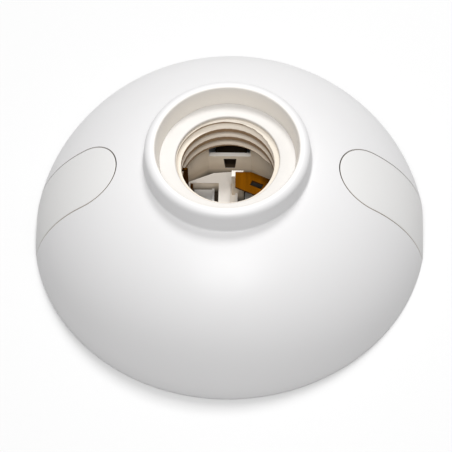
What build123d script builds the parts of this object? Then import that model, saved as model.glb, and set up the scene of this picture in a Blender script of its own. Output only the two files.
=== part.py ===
from build123d import *
from math import atan2, cos, hypot, radians, sin, sqrt
import os

# Batten lampholder for a screw lamp, in millimetres.
# The origin is the centre of the back rim, on the mounting surface, and +Z points to the lamp's mouth.
# The covers over the two fixing screws lie on the X axis.

# Dome
base_radius = 52.4
dome_draft = 8.7
dome_wall = 2.2
overall_height = 39.8

# Collar
collar_radius = 21.8
collar_height = 6.5
collar_foot_fillet = 0.7
collar_lean = 0.4
collar_bore_radius = 17.75
collar_flare = 1.0
lip_outer_share = 0.7
lip_inner_share = 0.2

# Neck that locates the socket insert behind the collar
neck_wall = 1.8
neck_depth = 6.0

# Socket insert, with a plain bore at the thread's crests
socket_recess = 5.8
entry_radius = 13.5
entry_length = 1.3
entry_edge = 0.35
insert_length = 11.4
thread_minor_radius = 12.2
thread_depth = 1.15
insert_wall = 1.9
spigot_height = 1.0
flange_radius = 19.6
flange_thickness = 2.0

# Fixing holes and the pads that carry them
fixing_spacing = 80.0
fixing_hole_radius = 2.25
fixing_hole_edge = 0.6
pad_thickness = 3.5

# Covers over the fixing screws
cover_half_width = 8.8
cover_wall = 2.0
cover_setback = 2.0
cover_lift = 0.3
pocket_wall = 1.6
rail_width = 2.6
rail_thickness = 1.4
leg_wall = 1.2
foot_width = 1.0
foot_thickness = 1.1
rail_length = 8.8

# Terminal block
block_radius = 20.2
block_bottom = 5.0
block_slab = 2.5
plateau_height = 12.0
plateau_half_width = 14.2
plateau_front = 10.0
plateau_end = 6.2
plateau_shoulder_x = 4.3
plateau_shoulder = 10.5
plateau_peak = 10.9
terminal_x = 6.8
barrier_right = 2.2
barrier_left = 2.9
pocket_outer_x = 10.5
pocket_front = 8.0
pocket_rear = 7.3
barrier_groove_x = 0.9
barrier_groove_width = 1.2
barrier_groove_depth = 0.9
wire_slot_width = 1.3
wire_slot_length = 8.0
rear_wall_height = 16.8
rear_wall_thickness = 1.2
rear_wall_half_width = 5.9
rear_wall_y = 13.3
rear_wall_end_x = 13.0
rear_wall_end_y = 8.3
rear_wall_end_drop = 1.6
rear_window_top = 15.6
rear_window_top_width = 3.5
rear_window_bottom = 11.3
rear_window_bottom_width = 2.6
back_rib_thickness = 1.6
back_rib_height = 3.0
back_rib_length = 26.0
pillar_inset = 1.8
pillar_depth = 2.8
pillar_width = 5.0
pillar_grip = 1.2
pillar_angles = (45, 135, 225, 315)

# Screws that hold the block to bosses in the dome
block_screw_spacing = 54.0
block_screw_radius = 1.45
block_screw_grip = 9.0
block_screw_head_radius = 2.9
block_screw_head_height = 1.8
lug_radius = 4.2
boss_wall = 1.9

# Terminal screws and clamp plates
terminal_screw_radius = 1.75
terminal_head_radius = 3.2
terminal_head_height = 2.0
drive_slot_width = 0.9
drive_slot_depth = 1.0
clamp_width = 5.4
clamp_front = 3.2
clamp_rear = 6.9
clamp_thickness = 1.0
clamp_lip = 0.6
clamp_travel = 1.8

# Brass contacts
strip_thickness = 0.6
strip_bend = 1.0
centre_strip_width = 6.0
centre_strip_angle = 155.3
centre_leg_x = 11.6
centre_leg_y = -1.0
centre_foot_length = 5.0
centre_drop = 1.7
tongue_length = 11.4
tongue_tip_x = 1.75
tongue_tip_y = 4.95
tongue_slot_length = 3.3
tongue_slot_width = 1.6
tongue_slot_from_leg = 4.6
tongue_rest_inner_x = 0.7
tongue_rest_outer_x = 3.8
tongue_rest_front = 4.1
tongue_rest_rear = 6.0
side_plate_y = 3.5
side_plate_inner_x = 10.7
side_plate_outer_x = 13.3
side_plate_rise = 1.7
side_plate_round = 0.5
side_ear_height = 4.6
side_ear_width = 3.6
foot_plate_length = 9.7

# Clearances
seam_gap = 0.25
seat_gap = 0.1
slide_gap = 0.3
thread_gap = 0.1

# Heights and radii that follow from the sizes above
collar_foot_height = overall_height - collar_height
socket_face_height = overall_height - socket_recess
flange_top = socket_face_height - spigot_height
flange_bottom = flange_top - flange_thickness
thread_top = socket_face_height - entry_length
insert_bottom = socket_face_height - insert_length
thread_major_radius = thread_minor_radius + thread_depth
insert_radius = thread_major_radius + insert_wall
pillar_radius = flange_radius - pillar_inset
rear_wall_end_height = insert_bottom - rear_wall_end_drop
neck_inner = flange_radius + seat_gap
neck_outer = neck_inner + neck_wall
neck_bottom = flange_bottom - neck_depth + flange_thickness
fixing_x = fixing_spacing / 2
tip_centre_x = fixing_x - cover_setback
cover_end_x = sqrt(base_radius ** 2 - cover_half_width ** 2)
pocket_half_width = cover_half_width + seam_gap
block_floor = block_bottom + block_slab
strip_top = block_floor + strip_thickness
clamp_bottom = strip_top + slide_gap
tongue_height = insert_bottom - centre_drop
side_plate_top = insert_bottom + side_plate_rise
boss_y = block_screw_spacing / 2
boss_radius = block_screw_radius + thread_gap + boss_wall
rail_inner = pocket_half_width - rail_width
leg_outer = rail_inner - slide_gap
foot_bottom = pad_thickness + slide_gap
rail_bottom = foot_bottom + foot_thickness + slide_gap
far = 2 * base_radius


def dome_circle():
    """Centre radius, centre height and radius of the arc from the back rim to the foot of the collar."""
    lean = radians(dome_draft)
    run = collar_radius - base_radius
    chord = hypot(run, collar_foot_height)
    half_turn = atan2(collar_foot_height, run) - radians(90 + dome_draft)
    radius = chord / (2 * sin(half_turn))
    return base_radius - radius * cos(lean), -radius * sin(lean), radius


def dome_height(reach, depth=0.0):
    """Height, at a distance from the axis, of the surface that lies a depth inside the dome."""
    centre_r, centre_z, radius = dome_circle()
    return centre_z + sqrt((radius - depth) ** 2 - (reach - centre_r) ** 2)


def dome_reach(height, depth=0.0):
    """Distance from the axis, at a height, of the surface that lies a depth inside the dome."""
    centre_r, centre_z, radius = dome_circle()
    return centre_r + sqrt((radius - depth) ** 2 - (height - centre_z) ** 2)


def dome_curve(inner_reach, depth=0.0):
    """Arc of the dome's section from the back plane up to a distance from the axis."""
    start = (dome_reach(0, depth), 0)
    end = (inner_reach, dome_height(inner_reach, depth))
    middle_height = end[1] / 2
    middle = (dome_reach(middle_height, depth), middle_height)
    return ThreePointArc(start, middle, end)


def turned(edges):
    """Solid of revolution about Z from the closed outline of its half section."""
    return revolve(Plane.XZ * make_face(edges), Axis.Z)


def path(*points):
    """Straight edges through the points."""
    return [Line(a, b) for a, b in zip(points, points[1:])]


def dome_form(depth=0.0):
    """Full solid under the dome's surface, a depth inside it, used to trim what follows the dome."""
    arc = dome_curve(collar_radius, depth)
    top = arc @ 1
    foot = arc @ 0
    return turned([arc] + path(top, (0, top.Y), (0, 0), foot))


def block(x_range, y_range, z_range):
    """Rectangular solid between limits on each axis."""
    limits = (x_range, y_range, z_range)
    centre = [(low + high) / 2 for low, high in limits]
    size = [high - low for low, high in limits]
    return Pos(*centre) * Box(*size)


def rod(radius, bottom, top, x=0.0, y=0.0):
    """Upright cylinder between two heights."""
    return Pos(x, y, (bottom + top) / 2) * Cylinder(radius, top - bottom)


def cover_plan(half_width):
    """Plan outline of the cover at +X: parallel sides, a round tip and an open outer end."""
    run = far - tip_centre_x
    sides = Pos(tip_centre_x + run / 2, 0) * Rectangle(run, 2 * half_width)
    return sides + Pos(tip_centre_x, 0) * Circle(half_width)


def upright(plan, bottom, top):
    """Plan outline extruded between two heights."""
    return Pos(0, 0, bottom) * extrude(plan, top - bottom)


def both_sides(make):
    """What make gives for +Y and for -Y, fused."""
    return make(1) + make(-1)


def y_span(side, inner, outer):
    """Limits in Y of what lies between two distances on one side of the X axis."""
    return (inner, outer) if side > 0 else (-outer, -inner)


def half_turned(shape):
    """The same shape at the opposite side of the Z axis."""
    return Rot(0, 0, 180) * shape


def mirrored(shape):
    """The same shape on the other side of the YZ plane."""
    return mirror(shape, Plane.YZ)


def dome_shell():
    """Dome, collar and neck as one turned wall."""
    foot = (collar_radius, collar_foot_height)
    lip_outer = (collar_radius - collar_lean, overall_height)
    lip_inner = (collar_bore_radius + collar_flare, overall_height)
    lip_width = lip_outer[0] - lip_inner[0]
    outer = dome_curve(collar_radius)
    inner = dome_curve(neck_outer, dome_wall)
    edges = [outer, inner, Line(inner @ 0, outer @ 0)]
    edges += path(
        outer @ 1, lip_outer, lip_inner, (collar_bore_radius, socket_face_height),
        (collar_bore_radius, flange_top), (neck_inner, flange_top), (neck_inner, neck_bottom),
        (neck_outer, neck_bottom), inner @ 1)
    section = make_face(edges)
    roundings = ((foot, collar_foot_fillet), (lip_outer, lip_outer_share * lip_width),
                 (lip_inner, lip_inner_share * lip_width))
    for corner, radius in roundings:
        section = fillet(section.vertices().sort_by_distance(corner)[0], radius)
    return revolve(Plane.XZ * section, Axis.Z)


def fixing_pocket():
    """Walls and floor pad of the pocket at +X, before its hollow is cut."""
    walls = upright(cover_plan(pocket_half_width + pocket_wall), 0, overall_height)
    return walls & dome_form(dome_wall / 2)


def pocket_hollow():
    """Space that the cover at +X and the fixing screw take out of the dome."""
    plan = cover_plan(pocket_half_width)
    well = upright(plan, pad_thickness, overall_height)
    rim = upright(plan, -pad_thickness, 2 * pad_thickness) - rod(
        dome_reach(pad_thickness, cover_wall) - slide_gap, -pad_thickness, 2 * pad_thickness)
    hole = rod(fixing_hole_radius, -pad_thickness, 2 * pad_thickness, fixing_x)
    edge = Pos(fixing_x, 0, pad_thickness - fixing_hole_edge / 2) * Cone(
        fixing_hole_radius, fixing_hole_radius + fixing_hole_edge, fixing_hole_edge)
    return well + rim + hole + edge


def cover_rails():
    """Ledges on the side walls of the pocket at +X that hold the cover's feet down."""
    def rail(side):
        return block((tip_centre_x, tip_centre_x + rail_length),
                     y_span(side, rail_inner, pocket_half_width + pocket_wall / 2),
                     (rail_bottom, rail_bottom + rail_thickness))
    return both_sides(rail)


def screw_bosses():
    """Posts under the dome that the block's screws go into."""
    def boss(side):
        post = rod(boss_radius, block_floor, overall_height, 0, side * boss_y)
        return post & dome_form(dome_wall / 2)
    return both_sides(boss)


def boss_holes():
    """Holes in the bosses for the block's screws."""
    depth = block_floor + block_screw_grip + slide_gap

    def hole(side):
        return rod(block_screw_radius + thread_gap, 0, depth, 0, side * boss_y)
    return both_sides(hole)


def make_dome_body():
    """White dome with its collar, screw pockets and bosses, one moulding."""
    pockets = fixing_pocket()
    hollows = pocket_hollow()
    rails = cover_rails()
    body = dome_shell() + pockets + half_turned(pockets) + screw_bosses()
    body = body - hollows - half_turned(hollows) - boss_holes()
    return body + rails + half_turned(rails)


def pillar(angle, low, high, clearance=0.0):
    """Post of the block that stands under the socket insert's flange."""
    post = block((pillar_radius - pillar_depth / 2 - clearance, pillar_radius + pillar_depth / 2 + clearance),
                 (-pillar_width / 2 - clearance, pillar_width / 2 + clearance), (low, high))
    return Rot(0, 0, angle) * post


def side_plate(clearance, bottom):
    """Upright of the side contact from a height up, or the slot for it where a clearance is given."""
    reach = strip_thickness / 2 + clearance
    return block((-side_plate_outer_x - clearance, clearance - side_plate_inner_x),
                 (side_plate_y - reach, side_plate_y + reach), (bottom, side_plate_top + clearance))


def make_socket_insert():
    """Cream sleeve with the bore for the lamp's screw and a flange held behind the collar."""
    spigot_radius = collar_bore_radius - seat_gap
    lead_in = entry_radius - thread_minor_radius
    edges = path(
        (entry_radius + entry_edge, socket_face_height), (spigot_radius, socket_face_height),
        (spigot_radius, flange_top), (flange_radius, flange_top), (flange_radius, flange_bottom),
        (insert_radius, flange_bottom), (insert_radius, insert_bottom), (thread_minor_radius, insert_bottom),
        (thread_minor_radius, thread_top - lead_in / 2), (entry_radius, thread_top),
        (entry_radius, socket_face_height - entry_edge), (entry_radius + entry_edge, socket_face_height))
    sleeve = turned(edges) - side_plate(slide_gap, insert_bottom)
    for angle in pillar_angles:
        sleeve -= pillar(angle, insert_bottom, flange_bottom + pillar_grip + seat_gap, seat_gap)
    return sleeve


def centre_contact_place():
    """Frame of the centre contact: its leg at the origin, X along the tongue."""
    return Pos(centre_leg_x, centre_leg_y, 0) * Rot(0, 0, centre_strip_angle)


def contact_slots():
    """Slots in the block that the two contacts stand in."""
    reach = slide_gap + strip_thickness / 2
    centre = block((-reach, centre_foot_length), (-centre_strip_width / 2 - slide_gap,
                   centre_strip_width / 2 + slide_gap), (block_floor, overall_height))
    return centre_contact_place() * centre + side_plate(slide_gap, block_floor)


def terminal_pocket(inner):
    """Hollow at +X for a clamp plate, with the holes for its screw and its wire."""
    hollow = block((inner, pocket_outer_x), (-pocket_front, pocket_rear), (block_floor, overall_height))
    screw = rod(terminal_screw_radius + slide_gap, 0, overall_height, terminal_x)
    wire = block((inner, inner + wire_slot_width), (-wire_slot_length / 2, wire_slot_length / 2),
                 (0, block_floor + block_slab))
    return hollow + screw + wire


def rear_wall():
    """Upright wall behind the plateau, angled forward and higher at its ends, with a window in the middle."""
    fold = (rear_wall_half_width, rear_wall_y)
    end = (rear_wall_end_x, rear_wall_end_y)
    line = Polyline((-end[0], end[1]), (-fold[0], fold[1]), fold, end)
    wall = upright(trace(line, rear_wall_thickness), block_bottom, rear_wall_height)
    rise = upright(trace(Line(fold, end), rear_wall_thickness), block_bottom, rear_wall_end_height)
    half_top = rear_window_top_width / 2
    half_bottom = rear_window_bottom_width / 2
    outline = make_face(path(
        (-half_top, rear_window_top), (half_top, rear_window_top), (half_bottom, rear_window_bottom),
        (-half_bottom, rear_window_bottom), (-half_top, rear_window_top)))
    window = Pos(0, rear_wall_y, 0) * extrude(Plane.XZ * outline, rear_wall_thickness, both=True)
    return wall + rise + mirrored(rise) - window


def make_terminal_block():
    """Cream moulding that carries the contacts and the terminals."""
    plateau_plan = make_face(path(
        (-plateau_half_width, -plateau_front), (plateau_half_width, -plateau_front),
        (plateau_half_width, plateau_end), (plateau_shoulder_x, plateau_shoulder), (0, plateau_peak),
        (-plateau_shoulder_x, plateau_shoulder), (-plateau_half_width, plateau_end),
        (-plateau_half_width, -plateau_front)))
    lugs = Rectangle(2 * lug_radius, block_screw_spacing)
    for side in (1, -1):
        lugs += Pos(0, side * boss_y) * Circle(lug_radius)
    slab = upright(Circle(block_radius) + lugs, block_bottom, block_floor)
    moulding = slab + upright(plateau_plan, block_bottom, plateau_height)
    hollows = terminal_pocket(barrier_right) + mirrored(terminal_pocket(barrier_left))
    groove_left = barrier_groove_x - barrier_groove_width / 2
    groove = block((groove_left, groove_left + barrier_groove_width), (-plateau_front, pocket_rear),
                   (plateau_height - barrier_groove_depth, plateau_height))
    moulding = moulding - hollows - groove - contact_slots()
    moulding += rear_wall()
    moulding += block((tongue_rest_inner_x, tongue_rest_outer_x), (tongue_rest_front, tongue_rest_rear),
                      (block_floor, tongue_height - strip_thickness - slide_gap))
    moulding += block((-back_rib_thickness / 2, back_rib_thickness / 2),
                      (-back_rib_length / 2, back_rib_length / 2),
                      (block_bottom - back_rib_height, block_bottom))
    for angle in pillar_angles:
        moulding += pillar(angle, block_bottom, flange_bottom + pillar_grip)
    for side in (1, -1):
        moulding -= rod(block_screw_radius + slide_gap, 0, overall_height, 0, side * boss_y)
    return moulding


def make_clamp_plate(side):
    """Steel plate that a terminal screw draws down on the wire, with a turned-up inner edge."""
    inner = terminal_x - clamp_width / 2
    outer = terminal_x + clamp_width / 2
    plate = block((inner, outer), (-clamp_front, clamp_rear), (clamp_bottom, clamp_bottom + clamp_thickness))
    plate += block((inner, inner + clamp_lip), (-clamp_front, clamp_rear),
                   (clamp_bottom, clamp_bottom + clamp_thickness + clamp_lip))
    plate -= rod(terminal_screw_radius + thread_gap, 0, overall_height, terminal_x)
    return plate if side > 0 else mirrored(plate)


def make_terminal_screw(side):
    """Terminal screw, its slotted head behind the block and its shank through the clamp plate."""
    head_top = block_bottom - seat_gap
    head = rod(terminal_head_radius, head_top - terminal_head_height, head_top)
    shank = rod(terminal_screw_radius, head_top, clamp_bottom + clamp_thickness + clamp_travel)
    slot = block((-terminal_head_radius, terminal_head_radius), (-drive_slot_width / 2, drive_slot_width / 2),
                 (head_top - terminal_head_height, head_top - terminal_head_height + drive_slot_depth))
    return Pos(side * terminal_x, 0, 0) * (head + shank - slot)


def contact_foot():
    """Flat foot of a contact under the clamp plate at +X, with the hole for the terminal screw."""
    plate = block((terminal_x - clamp_width / 2, pocket_outer_x - seat_gap),
                  (clamp_rear - foot_plate_length, clamp_rear), (block_floor, strip_top))
    return plate - rod(terminal_screw_radius + slide_gap, 0, plateau_height, terminal_x)


def make_centre_contact():
    """Brass strip folded from its foot under the clamp, up a leg and over to the tongue under the lamp."""
    foot_level = block_floor + strip_thickness / 2
    tongue_level = tongue_height - strip_thickness / 2
    line = FilletPolyline((centre_foot_length, foot_level), (0, foot_level), (0, tongue_level),
                          (tongue_length, tongue_level), radius=strip_bend)
    section = Plane.XZ * trace(line, strip_thickness)
    strip = extrude(section, centre_strip_width / 2, both=True)
    above = (plateau_height, overall_height)
    slot_start = tongue_slot_from_leg - tongue_slot_length / 2
    strip -= block((slot_start, slot_start + tongue_slot_length),
                   (-tongue_slot_width / 2, tongue_slot_width / 2), above)
    strip = centre_contact_place() * strip
    strip -= block((-far, tongue_tip_x), (-far, far), above)
    strip -= block((-far, far), (tongue_tip_y, far), above)
    strip -= rod(terminal_screw_radius + slide_gap, 0, plateau_height, terminal_x)
    return strip + contact_foot()


def make_side_contact():
    """Brass plate that stands up to the side of the lamp's shell, on its foot under the clamp."""
    plate = side_plate(0.0, block_floor)
    plate = fillet(plate.edges().filter_by(Axis.Y).group_by(Axis.Z)[-1], side_plate_round)
    bridge = block((-side_plate_outer_x, -terminal_x - clamp_width / 2),
                   (side_plate_y - strip_thickness / 2, side_plate_y + strip_thickness / 2),
                   (block_floor, strip_top))
    ear_x = seat_gap - pocket_outer_x
    ear = block((ear_x, ear_x + strip_thickness), (clamp_rear - side_ear_width, clamp_rear),
                (block_floor, block_floor + side_ear_height))
    return plate + bridge + ear + mirrored(contact_foot())


def make_screw_cover():
    """Cover at +X, flush with the dome and flat at its outer end, on two legs that slide under rails."""
    plan = cover_plan(cover_half_width)
    skin = upright(plan, cover_lift, overall_height) & (dome_form() - dome_form(cover_wall))
    skin = skin & block((0, cover_end_x), (-far, far), (0, overall_height))
    leg_start = tip_centre_x + slide_gap
    leg_end = tip_centre_x + rail_length

    def leg(side):
        wall = block((leg_start, leg_end), y_span(side, leg_outer - leg_wall, leg_outer),
                     (foot_bottom, overall_height))
        foot = block((leg_start, leg_end), y_span(side, leg_outer, leg_outer + foot_width + slide_gap),
                     (foot_bottom, foot_bottom + foot_thickness))
        return (wall & dome_form(cover_wall / 2)) + foot
    return skin + both_sides(leg)


def make_block_screws():
    """The two screws that hold the block to the dome."""
    screws = []
    for side in (1, -1):
        head = rod(block_screw_head_radius, block_bottom - block_screw_head_height, block_bottom)
        shank = rod(block_screw_radius, block_bottom, block_floor + block_screw_grip)
        slot = block((-block_screw_head_radius, block_screw_head_radius),
                     (-drive_slot_width / 2, drive_slot_width / 2),
                     (block_bottom - block_screw_head_height,
                      block_bottom - block_screw_head_height + drive_slot_depth))
        screws.append(Pos(0, side * boss_y, 0) * (head + shank - slot))
    return Compound(children=screws)


right_screw_cover = make_screw_cover()

pieces = {
    "dome_body": make_dome_body(),
    "socket_insert": make_socket_insert(),
    "terminal_block": make_terminal_block(),
    "centre_contact": make_centre_contact(),
    "side_contact": make_side_contact(),
    "left_clamp_plate": make_clamp_plate(-1),
    "right_clamp_plate": make_clamp_plate(1),
    "left_terminal_screw": make_terminal_screw(-1),
    "right_terminal_screw": make_terminal_screw(1),
    "left_screw_cover": half_turned(right_screw_cover),
    "right_screw_cover": right_screw_cover,
    "block_screws": make_block_screws(),
}

os.makedirs("parts", exist_ok=True)
for name, shape in pieces.items():
    export_step(shape, f"parts/{name}.step")
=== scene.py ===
from math import acos, atan2, cos, hypot, pi, radians, sin, sqrt, tan

import bmesh
import bpy
from mathutils import Matrix, Vector


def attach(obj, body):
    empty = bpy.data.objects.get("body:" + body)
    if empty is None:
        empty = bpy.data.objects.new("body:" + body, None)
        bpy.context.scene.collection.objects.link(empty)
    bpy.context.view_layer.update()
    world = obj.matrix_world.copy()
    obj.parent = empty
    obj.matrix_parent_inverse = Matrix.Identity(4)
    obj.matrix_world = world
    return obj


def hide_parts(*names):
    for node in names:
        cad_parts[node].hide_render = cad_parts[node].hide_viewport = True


bl_info = {
    "name": "Batten Lampholder",
    "version": (1, 0, 0),
    "blender": (4, 5, 0),
    "location": "View3D > Sidebar > Lampholder",
    "description": "Dresses a domed lampholder: plastics, thread, brass and steel, and a plain studio stage",
    "category": "Object",
}

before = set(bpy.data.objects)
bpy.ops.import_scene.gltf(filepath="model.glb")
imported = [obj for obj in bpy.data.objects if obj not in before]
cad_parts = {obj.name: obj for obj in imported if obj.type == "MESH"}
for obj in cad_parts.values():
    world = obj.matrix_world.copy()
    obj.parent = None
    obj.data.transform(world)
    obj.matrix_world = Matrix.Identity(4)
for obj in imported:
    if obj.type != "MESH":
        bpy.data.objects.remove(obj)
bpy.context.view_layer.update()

MM = 0.001

# How near two points count as one, and how near the dome's skin a point counts as on it
MERGE = 0.0001 * MM
SKIN_TOLERANCE = 0.02 * MM

# Numbers of points along the curves
CIRCLE_POINTS = 64
DOME_SEGMENTS = 288
DOME_POINTS = 72
WALL_POINTS = 48
FILLET_POINTS = 9
EDGE_POINTS = 7
LIP_OUTER_POINTS = 21
LIP_INNER_POINTS = 11
TIP_STEPS = 96
COVER_SIDE_POINTS = 40
COVER_TIP_POINTS = 64
COVER_RINGS = 24
SLEEVE_SEGMENTS = 256
BORE_STEPS = 120

# Slope of the lead-in between the thread and the plain entry
LEAD_IN_SLOPE = 2.0

# Soft edges of the pieces that keep their solids
BLOCK_EDGE = 0.15 * MM
CONTACT_EDGE = 0.06 * MM
PLATE_EDGE = 0.12 * MM
SCREW_EDGE = 0.15 * MM
SOFT_ANGLE = radians(40)
CREASE = radians(32)

# Grain of the materials, from wide clouds to fine streaks, and the middle range of its values
CLOUD_SCALE = 38.0
GLOSS_SCALE = 160.0
PATCH_SCALE = 260.0
WAVE_SCALE = 420.0
STREAK_SCALE = 900.0
NOISE_LOW = 0.3
NOISE_HIGH = 0.7

# How strongly the grain shows, and the gloss of the plastics
CLOUD_SHADE = 0.975
PLASTIC_VARIATION = 0.03
METAL_VARIATION = 0.08
WAVE_DEPTH = 0.003 * MM
STREAK_DEPTH = 0.006 * MM
PLASTIC_IOR = 1.49
COVER_DULLING = 0.06

# Places of the colour sockets on a mix node
MIX_FIRST = 6
MIX_SECOND = 7
MIX_RESULT = 2

# How far a face looks up, from -1 to 1, where the painted shade in brown on the groove's faces and the
# painted light that makes the block's upper faces paler begin and end
GROOVE_SHADE_FACING_START = 0.35
GROOVE_SHADE_FACING_END = -0.05
UPPER_LIGHT_FACING_START = 0.2
UPPER_LIGHT_FACING_END = 0.7

# Lamps, floor and camera
FRONT_SIZE = 0.5
FRONT_PLACE = (0.0, -0.50, 1.095)
BACK_SIZE = 0.3
BACK_PLACE = (0.1, 0.52, 1.075)
LAMP_AIM = (0.0, 0.0, 0.02)
FLOOR_THICKNESS = 0.02
SENSOR_WIDTH = 36.0
NEAREST_VIEW = 0.01


def length(name, description, millimetres):
    """Length property that is written in millimetres and kept in metres."""
    return bpy.props.FloatProperty(
        name=name, description=description, default=millimetres * MM, min=0.0, unit="LENGTH", precision=5)


def angle(name, description, degrees):
    """Angle property that is written in degrees."""
    return bpy.props.FloatProperty(
        name=name, description=description, default=radians(degrees), subtype="ANGLE")


def colour(name, description, rgb):
    """Colour property, in linear values."""
    return bpy.props.FloatVectorProperty(
        name=name, description=description, default=rgb, size=3, min=0.0, max=1.0, subtype="COLOR")


def factor(name, description, value, high=1.0):
    """Plain number property from nothing to a highest value."""
    return bpy.props.FloatProperty(
        name=name, description=description, default=value, min=0.0, max=high, subtype="FACTOR")


def power(name, description, watts):
    """Power property of a lamp."""
    return bpy.props.FloatProperty(name=name, description=description, default=watts, min=0.0, unit="POWER")


class HolderSizes(bpy.types.PropertyGroup):
    """Sizes of the mouldings and of the places in the terminal block that carry painted shade."""

    base_radius: length("Base radius", "Radius of the back rim", 52.4)
    dome_draft: angle("Dome draft", "Lean of the dome's wall at the back rim", 8.7)
    dome_wall: length("Dome wall", "Thickness of the dome", 2.2)
    overall_height: length("Overall height", "From the back rim to the lip of the collar", 39.8)
    collar_radius: length("Collar radius", "Outside of the collar at its foot", 21.8)
    collar_foot: length("Collar foot", "Height at which the collar leaves the dome", 33.3)
    collar_fillet: length("Collar fillet", "Rounding between dome and collar", 0.7)
    collar_lean: length("Collar lean", "How far the collar's wall leans in by the lip", 0.4)
    collar_bore: length("Collar bore", "Inside radius of the collar at its seat", 17.75)
    collar_flare: length("Collar flare", "How far the collar's inside opens out by the lip", 1.0)
    lip_outer_round: length("Lip outer rounding", "Rounding of the lip's outer edge", 1.855)
    lip_inner_round: length("Lip inner rounding", "Rounding of the lip's inner edge", 0.53)
    socket_face: length("Socket face", "Height at which the collar's inside starts to open out", 34.0)
    neck_inner: length("Neck bore", "Inside radius of the neck behind the collar", 19.7)
    neck_wall: length("Neck wall", "Thickness of the neck", 1.8)
    neck_bottom: length("Neck bottom", "Height of the neck's open end", 27.0)
    flange_top: length("Flange seat", "Height of the shoulder that the sleeve's flange meets", 33.0)
    pad_thickness: length("Pad thickness", "Floor of the fixing pockets", 3.5)
    fixing_x: length("Fixing hole", "Distance of a fixing hole from the axis", 40.0)
    fixing_hole: length("Fixing hole radius", "Radius of a fixing hole", 2.25)
    fixing_edge: length("Fixing hole edge", "Countersink of a fixing hole", 0.6)
    tip_centre: length("Cover tip", "Centre of the cover's round tip", 38.0)
    cover_half_width: length("Cover half width", "Half the width of a cover", 8.8)
    cover_wall: length("Cover wall", "Thickness of a cover", 2.0)
    cover_lift: length("Cover lift", "Height of a cover's lower edge", 0.3)
    cover_edge: length("Cover edge", "Rounding along the edge of a cover", 0.22)
    rim_edge: length("Rim edge", "Rounding of the dome's back rim", 0.5)
    pocket_wall: length("Pocket wall", "Thickness of the walls round a fixing pocket", 1.6)
    seam: length("Seam", "Gap round a cover", 0.25)
    slide_gap: length("Slide gap", "Running clearance of the covers", 0.3)
    rail_width: length("Rail width", "How far a rail stands into the pocket", 2.6)
    rail_thickness: length("Rail thickness", "Thickness of a rail", 1.4)
    rail_length: length("Rail length", "Length of a rail", 8.8)
    leg_wall: length("Leg wall", "Thickness of a cover's leg", 1.2)
    foot_width: length("Foot width", "How far a foot stands out from its leg", 1.3)
    foot_thickness: length("Foot thickness", "Thickness of a foot", 1.1)
    boss_y: length("Boss place", "Distance of a screw boss from the axis", 27.0)
    boss_radius: length("Boss radius", "Radius of a screw boss", 3.45)
    boss_hole: length("Boss hole", "Radius of the hole in a boss", 1.55)
    boss_hole_top: length("Boss hole top", "Height at which a boss hole ends", 16.8)
    block_floor: length("Block floor", "Height of the terminal block's floor", 7.5)
    window_top: length("Window top", "Height of the top of the window in the block's rear wall", 15.6)
    window_face: length("Window face", "Distance of the rear wall's face from the axis", 12.7)
    # Bounds of the painted shade under the centre contact
    shadow_side: length("Shadow side", "Near side of the dark space under the centre contact", 4.2)
    shadow_top: length("Shadow top", "Height of the dark space under the centre contact", 13.0)
    shadow_rear: length("Shadow rear", "Rear of the dark space under the centre contact", 8.6)
    shadow_edge: length("Shadow edge", "How softly the block's dark spaces begin", 0.2)


class SocketSizes(bpy.types.PropertyGroup):
    """Sizes of the threaded sleeve."""

    face: length("Face", "Height of the sleeve's visible face", 34.0)
    spigot_radius: length("Spigot radius", "Radius of the face inside the collar", 17.73)
    flange_radius: length("Flange radius", "Radius of the flange behind the collar", 19.6)
    flange_bottom: length("Flange bottom", "Height of the flange's back", 31.0)
    sleeve_radius: length("Sleeve radius", "Outside radius of the sleeve", 15.25)
    sleeve_bottom: length("Sleeve bottom", "Height of the sleeve's open end", 22.6)
    entry_radius: length("Entry radius", "Radius of the plain entry", 13.5)
    entry_bottom: length("Entry bottom", "Height at which the plain entry ends", 32.7)
    entry_edge: length("Entry edge", "Rounding of the entry's rim", 0.35)
    minor_radius: length("Minor radius", "Radius of the thread's crests", 12.2)
    thread_depth: length("Thread depth", "Depth of the thread's round groove", 1.15)
    groove_radius: length("Groove radius", "Radius of the groove's section", 1.1)
    crest_round: length("Crest rounding", "How softly groove and crest meet", 0.16)
    pitch: length("Pitch", "Pitch of the thread", 3.629)
    thread_turn: angle("Thread turn", "Turn of the groove about the axis", 287.6)
    pillar_radius: length("Pillar radius", "Distance of the block's pillars from the axis", 17.8)
    pillar_depth: length("Pillar notch depth", "Depth of a pillar's notch", 3.0)
    pillar_width: length("Pillar notch width", "Width of a pillar's notch", 5.2)
    pillar_grip: length("Pillar grip", "How far a pillar reaches into the flange", 1.3)
    spigot_edge: length("Spigot edge", "Chamfer round the visible face", 0.06)
    flange_thickness: length("Flange thickness", "Thickness of the flange", 2.0)
    slot_inner: length("Slot inner end", "Near end of the side contact's slot, from the axis", 10.4)
    slot_outer: length("Slot outer end", "Far end of the side contact's slot, from the axis", 13.6)
    slot_front: length("Slot front", "Front of the side contact's slot", 2.9)
    slot_rear: length("Slot rear", "Rear of the side contact's slot", 4.1)
    slot_top: length("Slot top", "Height at which the side contact's slot ends", 24.6)


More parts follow.
